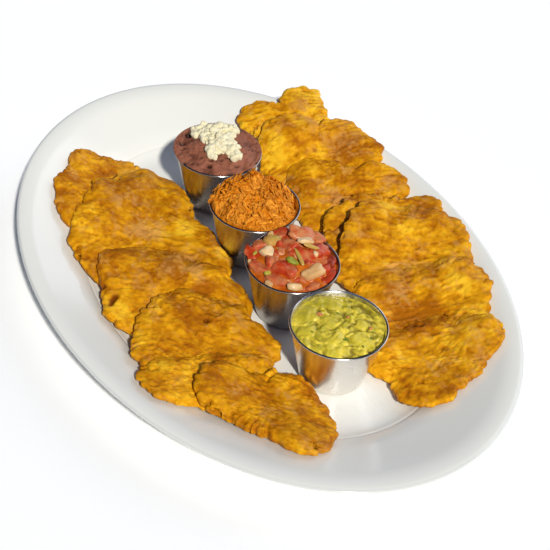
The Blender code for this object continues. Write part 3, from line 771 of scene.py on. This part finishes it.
RIGHT_ROW = (
    ((-132, 94), 8.0, 0.0, (0.2, 0.2), (31, 31, 30, 33, 41, 34, 17, 31, 38, 31, 27, 30)),
    ((-89, 96), 8.0, 0.0, (0.34, 0.1), (34, 43, 48, 41, 41, 26, 38, 47, 42, 45, 40, 33)),
    ((-49, 95), 8.0, 0.0, (0.1, 0.1), (27, 41, 46, 39, 22, 21, 32, 44, 42, 40, 45, 30)),
    ((-3, 100), 8.0, 3.0, (0.6, 0.1), (23, 33, 43, 41, 28, 25, 30, 33, 42, 45, 34, 24)),
    ((30, 95), 8.2, 4.0, (0.65, 0.05), (40, 50, 46, 49, 44, 42, 48, 44, 44, 53, 46, 38)),
    ((82, 79), 7.0, 0.0, (0.06, 0.02), (33, 46, 41, 51, 50, 42, 44, 48, 52, 50, 40, 31)),
    ((124, 59), 6.6, 0.0, (0.03, 0.02), (30, 30, 34, 51, 42, 40, 38, 45, 48, 34, 42, 39)),
)
# how much riper, so more golden, each slice is
GOLDEN = {"left": (-0.15, 0.05, -0.12, -0.12, 0.12, -0.05),
          "right": (0.45, 0.12, -0.1, -0.15, 0.0, 0.05, 0.2)}
# x, y and radius of patches of the crust, how much riper (or browner), and how much drier
PATCHES = (
    (-51, -31, 8, 1.2, 0.0), (-19, -20, 6, 0.9, 0.0), (-57, -56, 13, -0.2, 0.8), (-91, -64, 5, -0.5, 0.8),
    (-86, -89, 10, 0.4, -0.4), (-3, -47, 8, 0.5, 1.1), (-20, -42, 13, -0.2, 0.2), (11, -48, 6, -1.3, 0.0),
    (-2, -101, 12, 0.5, -0.2), (29, -69, 12, -0.6, -0.2), (39, -100, 10, 0.6, -0.3),
    (66, -108, 9, 0.4, -0.3), (70, -67, 8, -0.7, -0.4), (-147, 132, 7, 0.9, -0.3),
    (-101, 68, 11, 0.9, -0.4), (-112, 98, 11, 0.0, 0.8),
    (-135, 110, 7, -0.5, 0.3), (-77, 113, 11, -0.7, 0.0), (-88, 97, 5, 0.7, 0.0), (-59, 102, 7, 0.2, 1.0),
    (-38, 86, 7, -0.8, 1.0), (-47, 130, 7, 0.6, 0.0), (-38, 66, 10, 0.3, -0.3), (-29, 118, 10, 0.4, 0.4),
    (-8, 105, 10, 0.9, -0.3), (6, 126, 11, -0.5, 0.0), (11, 112, 5, 0.0, 1.0), (18, 105, 7, 0.5, -0.2),
    (46, 127, 4, -0.6, 1.0), (45, 78, 7, 0.0, 1.0), (64, 71, 7, -0.3, 0.9), (82, 107, 7, 0.7, -0.2),
    (92, 71, 14, -0.9, -0.2), (109, 105, 5, 1.0, 0.0), (127, 45, 13, 0.3, 0.0),
)
# x, y and radius of holes in the crust
HOLES = ((-8, -102.5, 2.1), (-6, -105.5, 2.1), (-3.5, -108, 1.8), (-20, -106, 1.9), (39, -61, 2.0),
         (93, 63, 2.0), (96, 66, 1.4))
LEAN_SPREAD = 45.0            # distance from a slice's middle over which its lean grows
EDGE_POWER = 3.8              # how square a slice's rounded edge is
EDGE_SHARE = 0.36             # thickness of a free upright edge, as a share of the middle's
LAY_GAP = 0.5
PRESS_DEPTH = 1.3             # how far a thin edge sinks into the soft slice under it
CUP_CLEARANCE = 1.3
GRID_STEP = 2.5               # spacing of the height map that the slices are laid on
SAG_STEPS = 200
SAG_MARGIN = 1.12             # a slice sags a little beyond its outline, as a share of it
SLICE_SIDES = 340
SPREAD = 18                   # how many sides the pressing spreads along an edge
FIBRE_TURN = {"left": np.radians(52.0), "right": np.radians(63.0)}       # the fibres' heading, from +X
FIBRE_SHARE = {"left": 0.3, "right": 0.75}         # how much of the crust shows fibres
PATCHY = {"left": 0.05, "right": 0.3}              # how much the crust's colour varies in streaks
ROW_SEED = {"left": 0, "right": 700}               # keeps the two rows' random draws apart

GRID_X = np.arange(-220.0, 220.0 + GRID_STEP, GRID_STEP)
GRID_Y = np.arange(-160.0, 160.0 + GRID_STEP, GRID_STEP)
MAP_X, MAP_Y = np.meshgrid(GRID_X, GRID_Y, indexing="ij")
SHIFTS = ((1, 0), (-1, 0), (1, 1), (-1, 1))


def reach_at(reaches, angle):
    """Smooth closed outline through evenly turned reaches (Catmull-Rom)."""
    reaches = np.asarray(reaches, float)
    count = len(reaches)
    place = angle / (2.0 * np.pi) % 1.0 * count
    index = place.astype(int) % count
    t = place - np.floor(place)
    before, here, after, beyond = (reaches[(index + k) % count] for k in (-1, 0, 1, 2))
    bend = (2 * before - 5 * here + 4 * after - beyond) * t**2
    twist = (3 * here - before - 3 * after + beyond) * t**3
    return 0.5 * (2 * here + (after - before) * t + bend + twist)


def read_map(heights, x, y):
    """Height between the map's points, by bilinear interpolation."""
    u = (x - GRID_X[0]) / GRID_STEP
    v = (y - GRID_Y[0]) / GRID_STEP
    i, j = u.astype(int), v.astype(int)
    s, t = u - i, v - j
    here = heights[i, j] * (1 - t) + heights[i, j + 1] * t
    beyond = heights[i + 1, j] * (1 - t) + heights[i + 1, j + 1] * t
    return here * (1 - s) + beyond * s


def settle(bed, covered):
    """Underside of a limp slab over a bed: smoothed again and again, and never below the bed."""
    under = bed.copy()
    share = covered.astype(float)
    weight = np.maximum(sum(np.roll(share, *shift) for shift in SHIFTS), 1.0)
    for _ in range(SAG_STEPS):
        mean = sum(np.roll(under * share, *shift) for shift in SHIFTS) / weight
        under = np.where(covered, np.maximum(bed, 0.5 * (under + mean)), bed)
    return under


def keep_off_cups(rings):
    """Points that come too near a cup's wall move straight away from its axis."""
    for cup in cups.values():
        away = rings[..., :2] - (cup["x"], cup["y"])
        distance = np.linalg.norm(away, axis=-1)
        least = cup_radius(rings[..., 2] - cup["base"]) + CUP_CLEARANCE
        push = np.maximum(least / distance, 1.0)[..., None]
        rings[..., :2] = (cup["x"], cup["y"]) + away * push
    return rings


def slice_rows():
    """Rows over a slice, from the top's middle over its rounded edge, down its upright side and in to
    the underside's middle: the share of the reach, then 1 to 0 over the dome and down the side."""
    start = np.arcsin(0.9 ** (EDGE_POWER / 2))
    flat = np.linspace(0.0, 0.9, 56)
    turn = np.linspace(start, np.pi / 2, 14)[1:]
    lower = np.array([(1.0, 0.7), (1.0, 0.4), (0.99, 0.15), (0.97, 0.0), (0.9, 0.0), (0.5, 0.0),
                      (0.0, 0.0)])
    share = np.concatenate([flat, np.sin(turn) ** (2 / EDGE_POWER), lower[:, 0]])
    dome = np.concatenate([np.sqrt(1.0 - flat**EDGE_POWER), np.cos(turn), 0.0 * lower[:, 1]])
    side = np.concatenate([1.0 + 0.0 * flat, 1.0 + 0.0 * turn, lower[:, 1]])
    return share[:, None], dome[:, None], side[:, None]


def tears(share, angle, reach, random):
    """Depth from 0 to 1 of cracks that run in from the edge, each a narrow wandering valley."""
    depth = np.zeros(np.broadcast_shapes(share.shape, angle.shape))
    for _ in range(random.integers(3, 7)):
        heading = random.uniform(0.0, 2.0 * np.pi)
        start = random.uniform(0.66, 0.92)
        wander = random.uniform(-0.35, 0.35) * (share - 1.0) + 0.03 * np.sin(share * random.uniform(30, 60))
        across = reach * share * np.sin(angle - heading - wander)
        ahead = np.cos(angle - heading - wander) > 0.0
        width = random.uniform(0.5, 1.1)
        valley = np.exp(-(across / width) ** 2) * smooth_step((share - start) / 0.14) * ahead
        depth = np.maximum(depth, valley * random.uniform(0.5, 1.0))
    return depth


def fibre_place(points, turn):
    """Points in the fruit's own directions: along its fibres, across them, and up."""
    x, y, z = np.moveaxis(points, -1, 0)
    return as_points(x * np.cos(turn) + y * np.sin(turn), y * np.cos(turn) - x * np.sin(turn), z)


def sagged(middle, lean, reaches, support):
    """Underside of a slice laid on the support, leaning up towards the cups, as a height map, with
    each map point's share of the slice's reach and its heading from the slice's middle."""
    from_x, from_y = MAP_X - middle[0], MAP_Y - middle[1]
    heading = np.arctan2(from_y, from_x)
    map_share = np.hypot(from_x, from_y) / reach_at(reaches, heading)
    wide = support
    for shift, axis in SHIFTS:
        wide = np.maximum(wide, np.roll(support, shift, axis))
    under = settle((support + wide) / 2.0 + LAY_GAP, map_share < SAG_MARGIN)
    towards_cups = -np.sign(middle[1]) * from_y / LEAN_SPREAD
    return under + lean * smooth_step((towards_cups + 1.0) / 2.0), map_share, heading


def edge_share(middle, pressed, support, reach, angle, unevenness):
    """Thickness of a slice's edge as a share of its middle's: whole where it is free, and pressed thin
    where it lies on another slice, which differs between the side towards the cups and the other."""
    x, y = polar(reach, angle)
    x, y = middle[0] + x, middle[1] + y
    bedded = smooth_step((read_map(support, x, y) - platter_top(platter_share(x, y)) - 1.0) / 3.0)
    for _ in range(2):
        bedded = np.mean([np.roll(bedded, step, axis=1) for step in range(-SPREAD, SPREAD + 1)], axis=0)
    away = smooth_step(0.5 + 0.7 * np.sin(angle) * np.sign(middle[1]))
    pressed = pressed[0] + (pressed[1] - pressed[0]) * away + unevenness
    return EDGE_SHARE + (np.clip(pressed, 0.02, 0.7) - EDGE_SHARE) * bedded


def crusted(rings, height, torn, row, seed, random):
    """A smooth slice's rings with the crust's relief, and its looks at each point: painted shade in its
    hollows, painted light on its crests and shade in its valleys, and how ripe and dry it is. Grains,
    ridges and slits are stretched along the fruit's fibres."""
    x, y = rings[..., 0], rings[..., 1]
    warp = 3.0 * noise(rings, 16.0, seed + 10)[..., None] * (0.0, 1.0, 0.0)
    place = fibre_place(rings, FIBRE_TURN[row] + random.uniform(-0.25, 0.25)) + warp
    fibrous = smooth_step(FIBRE_SHARE[row] + 0.9 * noise(rings, 24.0, seed + 3))
    grains = 0.6 * noise(place * (0.75, 1.0, 0.8), 3.6, seed + 4)
    grains += 0.42 * noise(place * (0.85, 1.0, 0.9), 2.0, seed + 5)
    grains += 0.6 * folded(place * (0.75, 1.0, 0.8), 5.5, seed + 14, 0.28)
    ridges = noise(place * (0.3, 1.0, 0.6), 3.2, seed + 6)
    busy = smooth_step(0.55 + noise(rings, 15.0, seed + 13))
    fine = (grains * (1.1 - 0.5 * fibrous) + 0.75 * ridges * fibrous) * (0.5 + 0.7 * busy)
    sparse = smooth_step((noise(rings, 13.0, seed + 11) - 0.12) / 0.25)
    slits = np.exp(-(noise(place * (0.45, 1.0, 0.6), 6.0, seed + 12) / 0.06) ** 2) * sparse
    holes = np.clip(sum(near(hole, x, y) for hole in HOLES), 0.0, 1.0)
    pits = smooth_step((noise(rings, 4.5, seed + 7) - 0.45) / 0.3)
    relief = 0.7 * noise(rings, 18.0, seed + 8) + 0.65 * noise(place * (0.6, 1.0, 0.8), 9.0, seed + 9)
    relief += fine - 0.8 * pits - 0.5 * slits - 2.4 * holes - 2.0 * torn
    upper = smooth_step(height / 0.15)
    # painted shade: darker in pits, slits, holes and tears; painted light: higher where the fine relief
    # stands up
    looks = {"painted_hollow_shade": np.clip(0.3 * pits + 0.25 * slits + 1.4 * holes + 0.8 * torn, 0.0, 1.0) * upper,
             "painted_relief_shading": np.clip(0.5 + 0.6 * fine, 0.0, 1.0)}
    for name, column, size, step in (("ripe", 3, 4.5, 16), ("dry", 4, 5.5, 17)):
        looks[name] = PATCHY[row] * noise(place * (0.5, 1.0, 0.8), size, seed + step)
        looks[name] += sum(patch[column] * near(patch, x, y) for patch in PATCHES)
    return raised(rings, relief * upper), looks


def slice_skin(middle, thickness, lean, pressed, reaches, support, row, seed):
    """One slice laid on the support: its rings, its looks at each point, and the support with it."""
    random = np.random.default_rng(seed)
    under, map_share, heading = sagged(middle, lean, reaches, support)
    share, dome, side = slice_rows()
    angle = turns(SLICE_SIDES)[None, :]
    circle = as_points(*polar(40.0, angle[0]), 0.0)
    ragged = 4.5 * folded(circle, 10.0, seed, 0.3) + 1.3 * folded(circle, 4.6, seed + 1, 0.3)
    reach = reach_at(reaches, angle) + ragged + 0.35 * noise(circle, 2.6, seed + 2)
    torn = tears(share, angle, reach, random)
    x, y = polar(reach * share - 2.2 * torn * share**8, angle)
    x, y = middle[0] + x, middle[1] + y
    edge = edge_share(middle, pressed, support, reach, angle, 0.18 * noise(circle, 14.0, seed + 15))
    thin = np.clip(1.0 - edge / EDGE_SHARE, 0.0, 1.0)
    shape = dome + (1.0 - np.minimum(share, 1.0) ** 2 - dome) * thin * (side == 1.0)
    height = edge * side + (1.0 - edge) * shape
    foot, bed = read_map(under, x, y), read_map(support, x, y) + LAY_GAP - PRESS_DEPTH * thin
    foot = foot + thin * smooth_step((share - 0.6) / 0.4) * np.minimum(bed - foot, 0.0)
    rings, looks = crusted(as_points(x, y, foot + thickness * height), height, torn, row, seed, random)

    edge, thin = (np.interp(heading, angle[0], part[0], period=2.0 * np.pi) for part in (edge, thin))
    inside = np.minimum(map_share, 1.0)
    dome = np.sqrt(1.0 - inside**EDGE_POWER)
    top = under + thickness * (edge + (1.0 - edge) * (dome + (1.0 - inside**2 - dome) * thin))
    support = np.where(inside < 1.0, np.maximum(support, top), support)
    return keep_off_cups(rings), looks, support


def fried_plantain():
    """Twice-fried plantain: starch set to a golden crust, in soft patches from brown to bright yellow
    at 30, 11 and 4 mm, tan where the crust is dry, with a weak oily sheen. Crests are painted more
    golden and valleys and hollows brown, as light and shade. Grains are 2 mm."""
    material, tree, place = new_finish("fried_plantain", IOR=1.45, Specular_IOR_Level=0.2,
                                       Specular_Tint=linear("FFCC80"))
    painted_hollow_shade, painted_relief_shading, ripe, dry = (add(tree, "Attribute", out="Fac", attribute_name=look)
                                for look in ("painted_hollow_shade", "painted_relief_shading", "ripe", "dry"))
    along = (0, 0, -FIBRE_TURN["right"])
    lined = add(tree, "Mapping", {"Vector": place, "Rotation": along, "Scale": (90, 400, 400)})
    fibre = add(tree, "TexNoise", {"Vector": lined, "Scale": 1.0, "Detail": 3.0})
    dry = add(tree, "Math", {0: fibre, 1: 1.3, 2: dry}, operation="MULTIPLY_ADD")
    other = add(tree, "Mapping", {"Vector": place, "Location": (0.3, 0.7, 0.2)})
    for scale, part in ((32.0, 1.7), (90.0, 1.9), (280.0, 1.2)):
        patch = add(tree, "TexNoise", {"Vector": place, "Scale": scale, "Detail": 2.0, "Distortion": 0.3})
        ripe = add(tree, "Math", {0: patch, 1: part, 2: ripe}, operation="MULTIPLY_ADD")
        patch = add(tree, "TexNoise", {"Vector": other, "Scale": scale * 1.3, "Detail": 2.0})
        dry = add(tree, "Math", {0: patch, 1: part, 2: dry}, operation="MULTIPLY_ADD")
    # crests painted more golden, as light
    ripe = add(tree, "Math", {0: painted_relief_shading, 1: 0.5, 2: ripe}, operation="MULTIPLY_ADD")
    # the last share paints valleys brown, as shade
    shares = ((ripe, 2.1, 2.5, 1.0), (ripe, 2.5, 3.0, 1.0), (ripe, 3.0, 3.45, 1.0),
              (dry, 3.15, 3.9, 0.65), (painted_relief_shading, 0.35, 0.1, 0.5))
    shares = [add(tree, "MapRange", {0: look, 1: start, 2: end, 4: most})
              for look, start, end, most in shares]
    # the last coat, 6E3604, is painted shade in pits, slits, holes and tears
    coats = zip(shares + [painted_hollow_shade], ("BC7808", "DA9812", "EEB626", "CE9650", "945006", "6E3604"))
    grain = add(tree, "TexNoise", {"Vector": place, "Scale": 560.0, "Detail": 3.0})
    relief = add(tree, "Math", {0: fibre, 1: 0.4, 2: grain}, operation="MULTIPLY_ADD")
    rough = add(tree, "MapRange", {0: dry, 1: 2.5, 2: 3.6, 3: 0.42, 4: 0.7})
    return dressed(material, "A45E08", coats, relief, 0.24, 0.0008, rough)


plantain = fried_plantain()
for row, slices in (("left", LEFT_ROW), ("right", RIGHT_ROW)):
    support = platter_top(platter_share(MAP_X, MAP_Y))
    for number, sizes in enumerate(slices, start=1):
        rings, looks, support = slice_skin(*sizes, support, row, ROW_SEED[row] + 40 * number)
        looks["ripe"] += GOLDEN[row][number - 1]
        looks = {name: [look] for name, look in looks.items()}
        piece = skins(f"fried_slice_{row}_{number}", [rings], plantain, looks)
        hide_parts(f"toston_{row}_{number}")


# Camera, table and light. A white table top, a hard sun over the camera's right shoulder, broad cool
# light from behind the platter, and a faint blue sky.

CAMERA_AIM = Vector((-0.0027, 0.01435, 0.0))
CAMERA_DISTANCE = 0.916
CAMERA_LENS = 87.37           # for a sensor 36 mm wide
CAMERA_TURN = np.radians(56.3)
CAMERA_RISE = np.radians(41.1)
CAMERA_ROLL = np.radians(7.02)
TABLE_HALF = 15.0
TABLE_DROP = 0.0002           # keeps the foot ring from touching the table
SKY_COLOUR = "A4C6FF"
SKY_STRENGTH = 0.15

camera = bpy.data.objects.new("camera", bpy.data.cameras.new("camera"))
bpy.context.collection.objects.link(camera)
camera.data.lens = CAMERA_LENS
camera.data.sensor_width = 36.0
turn = Matrix.Rotation(CAMERA_TURN, 4, "Z") @ Matrix.Rotation(np.pi / 2 - CAMERA_RISE, 4, "X")
place = CAMERA_AIM + turn @ Vector((0, 0, CAMERA_DISTANCE))
camera.matrix_world = Matrix.Translation(place) @ turn @ Matrix.Rotation(CAMERA_ROLL, 4, "Z")
bpy.context.scene.camera = camera

corners = [(TABLE_HALF * x, TABLE_HALF * y, -TABLE_DROP) for x, y in ((-1, -1), (1, -1), (1, 1), (-1, 1))]
table_mesh = bpy.data.meshes.new("table_top")
table_mesh.from_pydata(corners, [], [(0, 1, 2, 3)])
table_mesh.materials.append(new_finish("matt_white_board", Base_Color=linear("FFFFFF"), Roughness=0.9)[0])
table_top = bpy.data.objects.new("table_top", table_mesh)
bpy.context.collection.objects.link(table_top)

# name, heading from +X and rise in degrees, strength, how wide it looks in degrees, colour
LAMPS = (
    ("key_lamp", -14.3, 43.5, 3.67, 4.0, "FFFCF4"),
    ("soft_fill", 102.0, 22.0, 1.36, 60.0, "EEF3FF"),
)
for name, turn, rise, strength, width, colour in LAMPS:
    lamp = bpy.data.objects.new(name, bpy.data.lights.new(name, "SUN"))
    lamp.data.energy = strength
    lamp.data.angle = np.radians(width)
    lamp.data.color = linear(colour)[:3]
    turn, rise = np.radians(turn), np.radians(rise)
    to_lamp = Vector((np.cos(turn) * np.cos(rise), np.sin(turn) * np.cos(rise), np.sin(rise)))
    lamp.rotation_euler = to_lamp.to_track_quat("Z", "Y").to_euler()
    bpy.context.collection.objects.link(lamp)

world = bpy.data.worlds.new("studio")
world.use_nodes = True
sky = world.node_tree.nodes["Background"]
sky.inputs["Color"].default_value = linear(SKY_COLOUR)
sky.inputs["Strength"].default_value = SKY_STRENGTH
bpy.context.scene.world = world
bpy.context.scene.view_settings.view_transform = "Standard"
